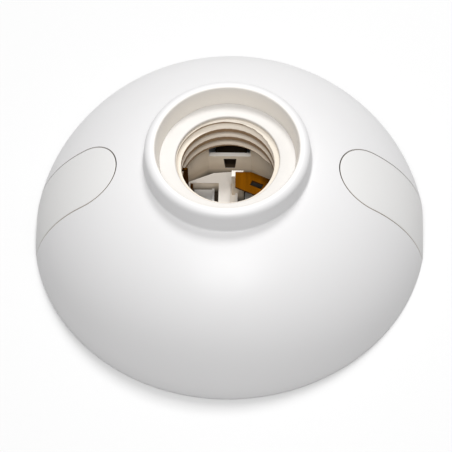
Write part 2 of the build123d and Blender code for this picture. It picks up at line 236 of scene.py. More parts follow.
class HolderFinish(bpy.types.PropertyGroup):
    """Colours and gloss of the materials."""

    white: colour("White", "Moulded white of the dome", (0.78, 0.774, 0.777))
    # Painted warm bounce light: the collar's inside paler and warmer than the dome
    bore_bounce_white: colour("Bore white", "Warmer white inside the collar", (0.90, 0.855, 0.79))
    cover_white: colour("Cover white", "Slightly warmer white of the covers", (0.78, 0.774, 0.766))
    # Painted shade, in brown, along the covers' edges
    seam_shade_brown: colour("Seam brown", "Dull brown on the covers' edges", (0.38, 0.32, 0.25))
    face_cream: colour("Face cream", "Cream of the sleeve's visible face", (0.68, 0.658, 0.63))
    deep_cream: colour("Deep cream", "Cream at the top of the sleeve's bore", (0.89, 0.815, 0.71))
    # Painted shade: the bore's cream darker and browner towards its bottom
    bottom_shade_cream: colour("Bottom cream", "Cream at the bottom of the sleeve's bore", (0.70, 0.605, 0.485))
    # Painted shade on the thread's faces under the crests
    groove_shade_brown: colour("Groove brown", "Dull brown in the bottom of the thread", (0.30, 0.16, 0.055))
    # Painted light and shade: paler cream on the block's upper faces, warmer cream on its upright faces
    lit_block_cream: colour("Block cream", "Cream of the terminal block's upper faces", (0.95, 0.90, 0.83))
    shaded_wall_cream: colour("Wall cream", "Warmer cream of the terminal block's upright faces", (0.94, 0.82, 0.66))
    # Painted shade in the terminal block's recesses
    recess_shade_brown: colour("Recess brown", "Dark brown in the terminal block's recesses", (0.05, 0.032, 0.017))
    brass: colour("Brass", "Brass of the contacts", (0.14, 0.047, 0.001))
    steel: colour("Steel", "Zinc-plated steel of plates and screws", (0.86, 0.86, 0.85))
    gloss: factor("Gloss roughness", "Roughness of the dome, the sleeve and the block", 0.42)


class StageSettings(bpy.types.PropertyGroup):
    """Camera, lamps and floor."""

    distance: length("Camera distance", "From the back rim's centre", 800.0)
    elevation: angle("Elevation", "Height of the camera above the floor, as an angle", 57.0)
    azimuth: angle("Azimuth", "Turn of the camera about the lamp axis", 2.9)
    roll: angle("Roll", "Tilt of the picture", -1.96)
    aim_x: bpy.props.FloatProperty(
        name="Aim X", description="How far right of the axis the camera looks",
        default=-1.07 * MM, unit="LENGTH")
    aim_y: bpy.props.FloatProperty(
        name="Aim Y", description="How far behind the axis the camera looks",
        default=1.47 * MM, unit="LENGTH")
    lens: bpy.props.FloatProperty(
        name="Lens", description="Focal length of the camera", default=237.0, min=1.0, unit="CAMERA")
    floor_radius: length("Floor radius", "Radius of the pale floor", 4000.0)
    floor_white: colour("Floor colour", "Colour of the floor as it is seen", (0.80, 0.80, 0.80))
    floor_bounce: colour("Floor bounce", "Colour of the light that the floor throws back", (0.42, 0.42, 0.42))
    front: power("Front light", "Power of the soft light in front", 6.95)
    back: power("Back light", "Power of the soft light above and behind", 7.4)
    ambient: factor("Ambient", "Strength of the surrounding light", 0.35, 4.0)


def sizes():
    """The mouldings' sizes."""
    return bpy.context.scene.holder_sizes


def socket():
    """The threaded sleeve's sizes."""
    return bpy.context.scene.socket_sizes


def finish():
    """The colours."""
    return bpy.context.scene.holder_finish


# Mesh helpers

def add_object(name, bm):
    """New object in the scene from a finished bmesh."""
    mesh = bpy.data.meshes.new(name)
    bm.to_mesh(mesh)
    bm.free()
    piece = bpy.data.objects.new(name, mesh)
    bpy.context.scene.collection.objects.link(piece)
    return piece


def tidy(bm):
    """Merges points that coincide and turns every face outwards."""
    bmesh.ops.remove_doubles(bm, verts=bm.verts, dist=MERGE)
    bmesh.ops.recalc_face_normals(bm, faces=bm.faces)
    return bm


def section_points(bm, profile, turn):
    """Points of a half section of radius and height pairs, at a turn about the lamp axis."""
    return [bm.verts.new((r * cos(turn), r * sin(turn), z)) for r, z in profile]


def join_sections(bm, sections, closed=True):
    """Faces between neighbouring half sections, and from the last back to the first."""
    count = len(sections[0])
    last = count if closed else count - 1
    for step, here in enumerate(sections):
        there = sections[(step + 1) % len(sections)]
        for k in range(last):
            j = (k + 1) % count
            bm.faces.new((here[k], there[k], there[j], here[j]))


def spun(profile, segments, closed=True):
    """Mesh from a half section of radius and height pairs, turned about the lamp axis."""
    bm = bmesh.new()
    sections = [section_points(bm, profile, 2 * pi * step / segments) for step in range(segments)]
    join_sections(bm, sections, closed)
    return tidy(bm)


def prism(outline, low, high, upper=None):
    """Mesh that stands between two heights on a plan outline, with another at its top where one is given."""
    bm = bmesh.new()
    bottom = [bm.verts.new((x, y, low)) for x, y in outline]
    top = [bm.verts.new((x, y, high)) for x, y in upper or outline]
    bm.faces.new(reversed(bottom))
    bm.faces.new(top)
    for k in range(len(outline)):
        j = (k + 1) % len(outline)
        bm.faces.new((bottom[k], bottom[j], top[j], top[k]))
    return tidy(bm)


def rectangle(x_low, x_high, y_low, y_high):
    """Plan outline of a rectangle."""
    return [(x_low, y_low), (x_high, y_low), (x_high, y_high), (x_low, y_high)]


def circle(radius, x=0.0, y=0.0, points=CIRCLE_POINTS):
    """Plan outline of a circle."""
    turns = [2 * pi * k / points for k in range(points)]
    return [(x + radius * cos(t), y + radius * sin(t)) for t in turns]


def arc(centre, radius, start, end, points):
    """Points of an arc in a half section, both ends included."""
    turns = [start + (end - start) * k / (points - 1) for k in range(points)]
    return [(centre[0] + radius * cos(t), centre[1] + radius * sin(t)) for t in turns]


def rounded(before, corner, after, radius, points):
    """Points of the rounding that replaces a corner between two straight lines of a half section."""
    start = Vector(before) - Vector(corner)
    end = Vector(after) - Vector(corner)
    start.normalize()
    end.normalize()
    half = acos(start.dot(end)) / 2
    centre = Vector(corner) + (start + end).normalized() * (radius / sin(half))
    first = Vector(corner) + start * (radius / tan(half)) - centre
    last = Vector(corner) + end * (radius / tan(half)) - centre
    return arc(centre, radius, atan2(first.y, first.x), atan2(last.y, last.x), points)


def turned(piece, turn):
    """Turns a new object's mesh about the lamp axis."""
    piece.data.transform(Matrix.Rotation(turn, 4, "Z"))
    return piece


def carve(target, tool, operation):
    """Cuts, joins or trims a mesh by another, which is used up."""
    modifier = target.modifiers.new("carve", "BOOLEAN")
    modifier.operation = operation
    modifier.solver = "MANIFOLD"
    modifier.object = tool
    depsgraph = bpy.context.evaluated_depsgraph_get()
    result = bpy.data.meshes.new_from_object(target.evaluated_get(depsgraph))
    target.modifiers.remove(modifier)
    spent = target.data
    target.data = result
    bpy.data.meshes.remove(spent)
    bpy.data.meshes.remove(tool.data)
    if not result.polygons:
        raise RuntimeError(f"nothing is left of {target.name}")


def cleaned(mesh):
    """Merges points that coincide and takes out faces of no width."""
    bm = bmesh.new()
    bm.from_mesh(mesh)
    bmesh.ops.remove_doubles(bm, verts=bm.verts, dist=MERGE)
    bmesh.ops.dissolve_degenerate(bm, edges=bm.edges, dist=MERGE)
    bm.to_mesh(mesh)
    bm.free()


def shade(mesh):
    """Smooth shading that stays crisp at real corners."""
    mesh.shade_smooth()
    mesh.set_sharp_from_angle(angle=CREASE)


def place(piece, material, body, node):
    """Gives a piece its material and its body, and hides the solid that it stands for."""
    piece.data.materials.clear()
    piece.data.materials.append(material)
    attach(piece, body)
    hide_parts(node)


# The dome's section

def dome_circle():
    """Centre radius, centre height and radius of the arc from the back rim to the collar's foot."""
    s = sizes()
    run = s.collar_radius - s.base_radius
    half_turn = atan2(s.collar_foot, run) - pi / 2 - s.dome_draft
    radius = hypot(run, s.collar_foot) / (2 * sin(half_turn))
    return s.base_radius - radius * cos(s.dome_draft), -radius * sin(s.dome_draft), radius


def dome_height(reach, depth=0.0):
    """Height of the surface a depth inside the dome, at a distance from the axis."""
    centre_r, centre_z, radius = dome_circle()
    return centre_z + sqrt((radius - depth) ** 2 - (reach - centre_r) ** 2)


def dome_reach(height, depth=0.0):
    """Distance from the axis of the surface a depth inside the dome, at a height."""
    centre_r, centre_z, radius = dome_circle()
    return centre_r + sqrt((radius - depth) ** 2 - (height - centre_z) ** 2)


def dome_arc(inner_reach, depth, points):
    """Points of the dome's section from the back plane up to a distance from the axis."""
    centre_r, centre_z, radius = dome_circle()
    start = atan2(-centre_z, dome_reach(0.0, depth) - centre_r)
    end = atan2(dome_height(inner_reach, depth) - centre_z, inner_reach - centre_r)
    return arc((centre_r, centre_z), radius - depth, start, end, points)


def dome_form(depth):
    """Full mesh under the surface a depth inside the dome."""
    s = sizes()
    points = dome_arc(s.collar_radius, depth, WALL_POINTS)
    return spun([(0.0, 0.0)] + points + [(0.0, points[-1][1])], DOME_SEGMENTS, closed=False)


def collar_fillet():
    """Points of the small rounding between the dome and the collar, from the dome upwards."""
    s = sizes()
    centre_r, centre_z, radius = dome_circle()
    lean = atan2(s.collar_lean, s.overall_height - s.collar_foot)
    inside = s.collar_radius + s.collar_fillet
    outer = radius + s.collar_fillet
    centre = (inside, centre_z + sqrt(outer ** 2 - (inside - centre_r) ** 2))
    start = atan2(centre_z - centre[1], centre_r - centre[0])
    end = -pi + lean
    return arc(centre, s.collar_fillet, start, end, FILLET_POINTS)


def dome_profile():
    """Closed half section of dome, collar and neck."""
    s = sizes()
    foot = (s.collar_radius, s.collar_foot)
    lip_outer = (s.collar_radius - s.collar_lean, s.overall_height)
    lip_inner = (s.collar_bore + s.collar_flare, s.overall_height)
    seat = (s.collar_bore, s.socket_face)
    fillet = collar_fillet()
    neck_outer = s.neck_inner + s.neck_wall
    curve = dome_arc(fillet[0][0], 0.0, DOME_POINTS)
    rim = rounded((neck_outer, 0.0), curve[0], curve[1], s.rim_edge, EDGE_POINTS)
    outside = rim + [point for point in curve if point[1] > rim[-1][1] + MERGE][:-1] + fillet
    lip = rounded(foot, lip_outer, lip_inner, s.lip_outer_round, LIP_OUTER_POINTS)
    lip += rounded(lip_outer, lip_inner, seat, s.lip_inner_round, LIP_INNER_POINTS)
    neck = [seat, (s.collar_bore, s.flange_top), (s.neck_inner, s.flange_top),
            (s.neck_inner, s.neck_bottom), (neck_outer, s.neck_bottom)]
    under = dome_arc(neck_outer, s.dome_wall, WALL_POINTS)
    return outside + lip + neck + list(reversed(under))


def cover_plan(half_width, reach):
    """Plan outline at +X with parallel sides and a round tip."""
    tip = sizes().tip_centre
    turns = [pi / 2 + pi * k / TIP_STEPS for k in range(TIP_STEPS + 1)]
    round_end = [(tip + half_width * cos(t), half_width * sin(t)) for t in turns]
    return [(reach, -half_width), (reach, half_width)] + round_end


def outward_normals(mesh):
    """Exact normals on the dome's outer skin, so that cuts in it leave no trace in the shading."""
    centre_r, centre_z, radius = dome_circle()
    # A normal of no length leaves the shading as it is
    normals = [Vector((0.0, 0.0, 0.0))] * len(mesh.loops)
    for face in mesh.polygons:
        points = [mesh.vertices[k].co for k in face.vertices]
        reaches = [hypot(p.x, p.y) for p in points]
        misses = [abs(hypot(r - centre_r, p.z - centre_z) - radius) for r, p in zip(reaches, points)]
        if max(misses) > SKIN_TOLERANCE or min(reaches) < centre_r or face.normal.z < 0.0:
            continue
        for loop, p, r in zip(face.loop_indices, points, reaches):
            rise = Vector(((r - centre_r) * p.x / r, (r - centre_r) * p.y / r, p.z - centre_z))
            normals[loop] = rise.normalized()
    mesh.normals_split_custom_set(normals)


def fixing_pocket(turn):
    """Walls and pad of a fixing pocket, trimmed under the dome's skin."""
    s = sizes()
    outline = cover_plan(s.cover_half_width + s.seam + s.pocket_wall, 2 * s.base_radius)
    walls = add_object("pocket_walls", prism(outline, 0.0, s.overall_height))
    carve(walls, add_object("trim", dome_form(s.dome_wall / 2)), "INTERSECT")
    return turned(walls, turn)


def pocket_cutters(turn):
    """Meshes that open a fixing pocket: its well, the room for the cover's edge and the screw hole."""
    s = sizes()
    reach = 2 * s.base_radius
    outline = cover_plan(s.cover_half_width + s.seam, reach)
    well = add_object("well", prism(outline, s.pad_thickness, s.overall_height))
    edge = add_object("edge", prism(outline, -s.pad_thickness, 2 * s.pad_thickness))
    pad_reach = dome_reach(s.pad_thickness, s.cover_wall) - s.slide_gap
    core = prism(circle(pad_reach, points=DOME_SEGMENTS), -2 * s.pad_thickness, 3 * s.pad_thickness)
    carve(edge, add_object("core", core), "DIFFERENCE")
    narrow = circle(s.fixing_hole, s.fixing_x)
    hole = add_object("hole", prism(narrow, -s.pad_thickness, 2 * s.pad_thickness))
    wide = circle(s.fixing_hole + 2 * s.fixing_edge, s.fixing_x)
    sink = prism(narrow, s.pad_thickness - s.fixing_edge, s.pad_thickness + s.fixing_edge, wide)
    return [turned(tool, turn) for tool in (well, edge, hole, add_object("sink", sink))]


def cover_rails(turn):
    """Ledges in a fixing pocket that hold the cover's feet down."""
    s = sizes()
    wall = s.cover_half_width + s.seam
    low = s.pad_thickness + 2 * s.slide_gap + s.foot_thickness
    rails = []
    for side in (1, -1):
        edges = sorted((side * (wall - s.rail_width), side * (wall + s.pocket_wall / 2)))
        outline = rectangle(s.tip_centre, s.tip_centre + s.rail_length, *edges)
        rails.append(turned(add_object("rail", prism(outline, low, low + s.rail_thickness)), turn))
    return rails


def screw_boss(side):
    """Post under the dome for one of the block's screws."""
    s = sizes()
    outline = circle(s.boss_radius, 0.0, side * s.boss_y)
    boss = add_object("boss", prism(outline, s.block_floor, s.overall_height))
    carve(boss, add_object("trim", dome_form(s.dome_wall / 2)), "INTERSECT")
    hole = prism(circle(s.boss_hole, 0.0, side * s.boss_y), 0.0, s.boss_hole_top)
    carve(boss, add_object("hole", hole), "DIFFERENCE")
    return boss


def build_dome():
    """White dome with collar, neck, pockets, rails and bosses as one closed mesh."""
    dome = add_object("dome", spun(dome_profile(), DOME_SEGMENTS))
    for turn in (0.0, pi):
        carve(dome, fixing_pocket(turn), "UNION")
        for tool in pocket_cutters(turn):
            carve(dome, tool, "DIFFERENCE")
        for rail in cover_rails(turn):
            carve(dome, rail, "UNION")
    for side in (1, -1):
        carve(dome, screw_boss(side), "UNION")
    cleaned(dome.data)
    shade(dome.data)
    outward_normals(dome.data)
    return dome


# The covers

def cover_ring(bm, inset, depth):
    """One line of points along the cover's U, an inset from its edge and a depth inside the dome."""
    s = sizes()
    half_width = s.cover_half_width - inset
    end = sqrt(dome_reach(s.cover_lift, depth) ** 2 - half_width ** 2)
    plan = []
    for k in range(COVER_SIDE_POINTS):
        plan.append((end + (s.tip_centre - end) * k / COVER_SIDE_POINTS, half_width))
    for k in range(COVER_TIP_POINTS + 1):
        turn = pi / 2 + pi * k / COVER_TIP_POINTS
        plan.append((s.tip_centre + half_width * cos(turn), half_width * sin(turn)))
    for k in range(COVER_SIDE_POINTS):
        plan.append((s.tip_centre + (end - s.tip_centre) * (k + 1) / COVER_SIDE_POINTS, -half_width))
    return [bm.verts.new((x, y, dome_height(hypot(x, y), depth))) for x, y in plan]


def cover_levels():
    """Inset and depth of each line of points, from the middle of the outside to the middle of the inside."""
    s = sizes()
    span = s.cover_half_width - s.cover_edge
    outside = [(s.cover_edge + span * k / COVER_RINGS, 0.0) for k in range(COVER_RINGS, 0, -1)]
    rounding = []
    for k in range(EDGE_POINTS):
        turn = pi / 2 * k / (EDGE_POINTS - 1)
        rounding.append((s.cover_edge * (1 - sin(turn)), s.cover_edge * (1 - cos(turn))))
    inside = [(s.cover_half_width * k / COVER_RINGS, s.cover_wall) for k in range(COVER_RINGS + 1)]
    return outside + rounding + inside


def cover_skin():
    """Closed mesh of the cover's curved skin at +X."""
    bm = bmesh.new()
    rings = [cover_ring(bm, inset, depth) for inset, depth in cover_levels()]
    for here, there in zip(rings, rings[1:]):
        for k in range(len(here) - 1):
            bm.faces.new((here[k], here[k + 1], there[k + 1], there[k]))
    bmesh.ops.remove_doubles(bm, verts=bm.verts, dist=MERGE)
    bmesh.ops.dissolve_degenerate(bm, edges=bm.edges, dist=MERGE)
    bmesh.ops.holes_fill(bm, edges=[e for e in bm.edges if e.is_boundary])
    bmesh.ops.recalc_face_normals(bm, faces=bm.faces)
    return add_object("cover", bm)


def cover_leg(side):
    """Leg under one side of the cover's skin, with the foot that runs under the rail."""
    s = sizes()
    outer = s.cover_half_width + s.seam - s.rail_width - s.slide_gap
    start = s.tip_centre + s.slide_gap
    end = s.tip_centre + s.rail_length
    bottom = s.pad_thickness + s.slide_gap
    wall = rectangle(start, end, *sorted((side * (outer - s.leg_wall), side * outer)))
    foot = rectangle(start, end, *sorted((side * (outer - s.leg_wall / 2), side * (outer + s.foot_width))))
    leg = add_object("leg", prism(wall, bottom, s.overall_height))
    carve(leg, add_object("trim", dome_form(s.cover_wall / 2)), "INTERSECT")
    carve(leg, add_object("foot", prism(foot, bottom, bottom + s.foot_thickness)), "UNION")
    return leg


def build_cover(name, turn):
    """One cover, flush with the dome, on its two legs."""
    s = sizes()
    cover = cover_skin()
    cover.name = name
    flat_end = sqrt(s.base_radius ** 2 - s.cover_half_width ** 2)
    beyond = rectangle(flat_end, 2 * s.base_radius, -s.base_radius, s.base_radius)
    carve(cover, add_object("beyond", prism(beyond, -s.overall_height, s.overall_height)), "DIFFERENCE")
    for side in (1, -1):
        carve(cover, cover_leg(side), "UNION")
    turned(cover, turn)
    shade(cover.data)
    return cover


# The threaded sleeve

def thread_radius(turn, height):
    """Radius of the bore at a turn about the axis and a height: crest, round groove and lead-in."""
    s = socket()
    share = (height - s.sleeve_bottom) / s.pitch - (turn - s.thread_turn) / (2 * pi)
    offset = (share - round(share)) * s.pitch
    centre = s.minor_radius + s.thread_depth - s.groove_radius
    room = s.groove_radius ** 2 - offset ** 2
    groove = centre + sqrt(room) if room > 0.0 else s.minor_radius - s.thread_depth
    # The larger of groove and crest, blended where they are nearly the same
    soft = s.crest_round
    near = max(soft - abs(groove - s.minor_radius), 0.0) / soft
    wall = max(groove, s.minor_radius) + near * near * soft / 4
    cone = s.entry_radius + LEAD_IN_SLOPE * (height - s.entry_bottom)
    return min(max(wall, cone), s.entry_radius)


def build_sleeve():
    """Cream sleeve with its flange and the round lamp thread, as one closed mesh."""
    s = socket()
    edge_centre = (s.entry_radius + s.entry_edge, s.face - s.entry_edge)
    rim = arc(edge_centre, s.entry_edge, pi, pi / 2, EDGE_POINTS)
    flange_top = s.flange_bottom + s.flange_thickness
    outside = [(s.spigot_radius - s.spigot_edge, s.face), (s.spigot_radius, s.face - s.spigot_edge),
               (s.spigot_radius, flange_top), (s.flange_radius, flange_top),
               (s.flange_radius, s.flange_bottom), (s.sleeve_radius, s.flange_bottom),
               (s.sleeve_radius, s.sleeve_bottom)]
    bm = bmesh.new()
    sections = []
    for step in range(SLEEVE_SEGMENTS):
        turn = 2 * pi * step / SLEEVE_SEGMENTS
        line = list(outside)
        for k in range(BORE_STEPS + 1):
            height = s.sleeve_bottom + (s.entry_bottom - s.sleeve_bottom) * k / BORE_STEPS
            line.append((thread_radius(turn, height), height))
        sections.append(section_points(bm, line + rim, turn))
    join_sections(bm, sections)
    sleeve = add_object("threaded_sleeve", tidy(bm))
    half_depth = s.pillar_depth / 2
    outline = rectangle(s.pillar_radius - half_depth, s.pillar_radius + half_depth,
                        -s.pillar_width / 2, s.pillar_width / 2)
    low = s.flange_bottom - s.pillar_grip
    high = s.flange_bottom + s.pillar_grip
    for quarter in range(4):
        notch = add_object("notch", prism(outline, low, high))
        carve(sleeve, turned(notch, pi / 4 + quarter * pi / 2), "DIFFERENCE")
    slot = rectangle(-s.slot_outer, -s.slot_inner, s.slot_front, s.slot_rear)
    carve(sleeve, add_object("slot", prism(slot, s.sleeve_bottom / 2, s.slot_top)), "DIFFERENCE")
    shade(sleeve.data)
    return sleeve


# Materials

def new_material(name, shader_type="ShaderNodeBsdfPrincipled"):
    """Node material that has only its shader, linked to the output."""
    material = bpy.data.materials.new(name)
    material.use_nodes = True
    tree = material.node_tree
    tree.nodes.clear()
    output = tree.nodes.new("ShaderNodeOutputMaterial")
    shader = tree.nodes.new(shader_type)
    tree.links.new(shader.outputs["BSDF"], output.inputs["Surface"])
    return material, tree, shader


def noise(tree, scale, detail=3.0, stretch=None):
    """Noise in the object's own coordinates."""
    coordinates = tree.nodes.new("ShaderNodeTexCoord")
    texture = tree.nodes.new("ShaderNodeTexNoise")
    texture.inputs["Scale"].default_value = scale
    texture.inputs["Detail"].default_value = detail
    source = coordinates.outputs["Object"]
    if stretch:
        mapping = tree.nodes.new("ShaderNodeMapping")
        mapping.inputs["Scale"].default_value = stretch
        tree.links.new(source, mapping.inputs["Vector"])
        source = mapping.outputs["Vector"]
    tree.links.new(source, texture.inputs["Vector"])
    return texture.outputs["Fac"]


def ramp(tree, value, low, high, start=0.0, end=1.0):
    """Start below one value, end above another, and even between them."""
    ranged = tree.nodes.new("ShaderNodeMapRange")
    ranged.inputs["From Min"].default_value = low
    ranged.inputs["From Max"].default_value = high
    ranged.inputs["To Min"].default_value = start
    ranged.inputs["To Max"].default_value = end
    tree.links.new(value, ranged.inputs["Value"])
    return ranged.outputs["Result"]


def around(tree, grain, middle, variation):
    """Value that varies about a middle one with a grain."""
    return ramp(tree, grain, NOISE_LOW, NOISE_HIGH, middle - variation, middle + variation)


def mixer(tree, value):
    """Node that runs from one colour to another with a value."""
    mix = tree.nodes.new("ShaderNodeMix")
    mix.data_type = "RGBA"
    tree.links.new(value, mix.inputs["Factor"])
    return mix


def tint(tree, value, first, second):
    """Colour that runs from one tone to another with a value."""
    mix = mixer(tree, value)
    mix.inputs[MIX_FIRST].default_value = (*first, 1.0)
    mix.inputs[MIX_SECOND].default_value = (*second, 1.0)
    return mix.outputs[MIX_RESULT]


def blend(tree, value, first, second):
    """Colour that runs from one colour socket to another with a value."""
    mix = mixer(tree, value)
    tree.links.new(first, mix.inputs[MIX_FIRST])
    tree.links.new(second, mix.inputs[MIX_SECOND])
    return mix.outputs[MIX_RESULT]


def bump(tree, shader, value, distance):
    """Fine relief from a value."""
    relief = tree.nodes.new("ShaderNodeBump")
    relief.inputs["Distance"].default_value = distance
    relief.inputs["Strength"].default_value = 1.0
    tree.links.new(value, relief.inputs["Height"])
    tree.links.new(relief.outputs["Normal"], shader.inputs["Normal"])


def shaded(rgb, share):
    """The same colour, darker by a share."""
    return tuple(channel * share for channel in rgb)


def combined(tree, operation, first, second):
    """Two values put together by a plain operation."""
    node = tree.nodes.new("ShaderNodeMath")
    node.operation = operation
    tree.links.new(first, node.inputs[0])
    tree.links.new(second, node.inputs[1])
    return node.outputs[0]


def worked(tree, operation, value, number=0.0):
    """A value put through a plain operation with a fixed number."""
    node = tree.nodes.new("ShaderNodeMath")
    node.operation = operation
    node.inputs[1].default_value = number
    tree.links.new(value, node.inputs[0])
    return node.outputs[0]


def vector_length(tree, vector):
    """Length of a vector."""
    size = tree.nodes.new("ShaderNodeVectorMath")
    size.operation = "LENGTH"
    tree.links.new(vector, size.inputs[0])
    return size.outputs["Value"]


def along(tree, axis, source="Object"):
    """Coordinate along an axis, of the place on the piece or of its surface's facing."""
    coordinates = tree.nodes.new("ShaderNodeTexCoord")
    parts = tree.nodes.new("ShaderNodeSeparateXYZ")
    tree.links.new(coordinates.outputs[source], parts.inputs["Vector"])
    return parts.outputs[axis]


def reach_from_axis(tree):
    """Distance from the lamp axis."""
    coordinates = tree.nodes.new("ShaderNodeTexCoord")
    flat = tree.nodes.new("ShaderNodeVectorMath")
    flat.operation = "MULTIPLY"
    flat.inputs[1].default_value = (1.0, 1.0, 0.0)
    tree.links.new(coordinates.outputs["Object"], flat.inputs[0])
    return vector_length(tree, flat.outputs["Vector"])


def cloudy(tree, rgb):
    """Plastic's colour with faint clouds in it."""
    return tint(tree, noise(tree, CLOUD_SCALE), shaded(rgb, CLOUD_SHADE), rgb)


def moulded(tree, shader, colour_socket, roughness):
    """Finish of moulded plastic: uneven gloss and a faint waviness from the mould."""
    tree.links.new(colour_socket, shader.inputs["Base Color"])
    uneven = around(tree, noise(tree, GLOSS_SCALE), roughness, PLASTIC_VARIATION)
    tree.links.new(uneven, shader.inputs["Roughness"])
    shader.inputs["IOR"].default_value = PLASTIC_IOR
    bump(tree, shader, noise(tree, WAVE_SCALE, detail=2.0), WAVE_DEPTH)


def white_plastic():
    """Gloss white of the dome, with painted warm bounce light that makes the inside of the collar paler and
    warmer.
    """
    look = finish()
    s = sizes()
    material, tree, shader = new_material("white_plastic")
    start = s.collar_bore + s.collar_flare / 2
    end = s.collar_bore + 2 * s.collar_flare
    # Painted warm bounce light on the collar's inside, giving way to the plain white further out
    outside = ramp(tree, reach_from_axis(tree), start, end)
    colours = blend(tree, outside, cloudy(tree, tuple(look.bore_bounce_white)), cloudy(tree, tuple(look.white)))
    moulded(tree, shader, colours, look.gloss)
    return material


def reach_from_spine(tree):
    """Distance on plan from the line that runs outwards from the centre of a cover's round tip."""
    away = worked(tree, "ABSOLUTE", along(tree, "X"))
    from_tip = worked(tree, "SUBTRACT", away, sizes().tip_centre)
    before_tip = worked(tree, "MINIMUM", from_tip)
    plan = tree.nodes.new("ShaderNodeCombineXYZ")
    tree.links.new(before_tip, plan.inputs["X"])
    tree.links.new(along(tree, "Y"), plan.inputs["Y"])
    return vector_length(tree, plan.outputs["Vector"])


def cover_plastic():
    """Satin white of the covers, a little warmer than the dome, with painted shade in brown along their
    edges.
    """
    look = finish()
    s = sizes()
    material, tree, shader = new_material("cover_plastic")
    # Painted shade in brown along the cover's edges
    edge = ramp(tree, reach_from_spine(tree), s.cover_half_width - s.cover_edge / 2, s.cover_half_width)
    colours = blend(tree, edge, cloudy(tree, tuple(look.cover_white)), cloudy(tree, tuple(look.seam_shade_brown)))
    moulded(tree, shader, colours, look.gloss + COVER_DULLING)
    return material


def sleeve_plastic():
    """Cream of the sleeve, with painted shade that deepens its tone down the bore and browns the faces under
    the thread's crests.
    """
    look = finish()
    s = socket()
    material, tree, shader = new_material("sleeve_plastic")
    height = along(tree, "Z")
    # Painted shade: the bore's cream darker and browner towards its bottom
    rise = ramp(tree, height, s.sleeve_bottom, s.entry_bottom)
    bore = blend(tree, rise, cloudy(tree, tuple(look.bottom_shade_cream)), cloudy(tree, tuple(look.deep_cream)))
    up = ramp(tree, height, s.entry_bottom, s.face)
    cream = blend(tree, up, bore, cloudy(tree, tuple(look.face_cream)))
    # Painted shade on the thread's faces deep in the groove that face down, under the crests
    bottom = s.minor_radius + s.thread_depth
    inside = ramp(tree, reach_from_axis(tree), bottom + s.crest_round, bottom)
    below = ramp(tree, height, s.entry_bottom, s.entry_bottom - s.crest_round)
    down = ramp(tree, along(tree, "Z", "Normal"), GROOVE_SHADE_FACING_START, GROOVE_SHADE_FACING_END)
    groove = combined(tree, "MULTIPLY", combined(tree, "MULTIPLY", inside, below), down)
    colours = blend(tree, groove, cream, cloudy(tree, tuple(look.groove_shade_brown)))
    moulded(tree, shader, colours, look.gloss)
    return material


def block_plastic():
    """Cream of the terminal block, with painted shade that darkens its pockets, its window and the space
    under the centre contact, and painted light that makes its upper faces paler than its upright ones.
    """
    look = finish()
    s = sizes()
    material, tree, shader = new_material("block_plastic")
    height = along(tree, "Z")
    # Painted shade near the block's floor, in the window behind the rear wall and under the centre contact
    low = ramp(tree, height, s.block_floor + s.pad_thickness, s.block_floor)
    behind = ramp(tree, along(tree, "Y"), s.window_face, s.window_face + s.shadow_edge / 2)
    under = ramp(tree, height, s.window_top + s.shadow_edge, s.window_top)
    window = combined(tree, "MULTIPLY", behind, under)
    beside = ramp(tree, along(tree, "X"), s.shadow_side, s.shadow_side + s.shadow_edge)
    ahead = ramp(tree, along(tree, "Y"), s.shadow_rear, s.shadow_rear - s.shadow_edge)
    beneath = ramp(tree, height, s.shadow_top, s.shadow_top - s.shadow_edge)
    covered = combined(tree, "MULTIPLY", combined(tree, "MULTIPLY", beside, ahead), beneath)
    dark = combined(tree, "MAXIMUM", combined(tree, "MAXIMUM", low, window), covered)
    floor_up = ramp(tree, height, s.block_floor - 2 * s.shadow_edge, s.block_floor - s.shadow_edge)
    recess = combined(tree, "MULTIPLY", dark, floor_up)
    # Painted light and shade: paler cream on faces that look up, warmer cream on upright faces
    facing_up = ramp(tree, along(tree, "Z", "Normal"), UPPER_LIGHT_FACING_START, UPPER_LIGHT_FACING_END)
    upright = cloudy(tree, tuple(look.shaded_wall_cream))
    cream = blend(tree, facing_up, upright, cloudy(tree, tuple(look.lit_block_cream)))
    colours = blend(tree, recess, cream, cloudy(tree, tuple(look.recess_shade_brown)))
    moulded(tree, shader, colours, look.gloss)
    return material


def rolled_metal(name, rgb, dark_share, metallic, roughness, grain):
    """Rolled sheet metal: tone in streaks along the rolling, and a drawn grain."""
    material, tree, shader = new_material(name)
    streaks = noise(tree, STREAK_SCALE, detail=4.0, stretch=grain)
    patches = noise(tree, PATCH_SCALE)
    tree.links.new(tint(tree, patches, shaded(rgb, dark_share), rgb), shader.inputs["Base Color"])
    uneven = around(tree, streaks, roughness, METAL_VARIATION)
    tree.links.new(uneven, shader.inputs["Roughness"])
    shader.inputs["Metallic"].default_value = metallic
    bump(tree, shader, streaks, STREAK_DEPTH)
    return material


def contact_brass():
    """Rolled brass of the contacts."""
    return rolled_metal("contact_brass", tuple(finish().brass), dark_share=0.7, metallic=1.0,
                        roughness=0.58, grain=(1.0, 0.06, 1.0))


def plated_steel():
    """Zinc-plated steel of plates and screws."""
    return rolled_metal("plated_steel", tuple(finish().steel), dark_share=0.6, metallic=0.6,
                        roughness=0.45, grain=(0.1, 1.0, 1.0))


def dress_node(node, material, edge):
    """Gives a solid its material and softens its edges."""
    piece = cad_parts[node]
    piece.data.materials.clear()
    piece.data.materials.append(material)
    bevel = piece.modifiers.new("soft_edges", "BEVEL")
    bevel.width = edge
    bevel.segments = 2
    bevel.limit_method = "ANGLE"
    bevel.angle_limit = SOFT_ANGLE


# Operators

class HOLDER_OT_dome(bpy.types.Operator):
    """Build the white dome with its collar and pockets"""

    bl_idname = "holder.dome"
    bl_label = "Dome"

    def execute(self, context):
        place(build_dome(), white_plastic(), "holder", "dome_body")
        return {"FINISHED"}


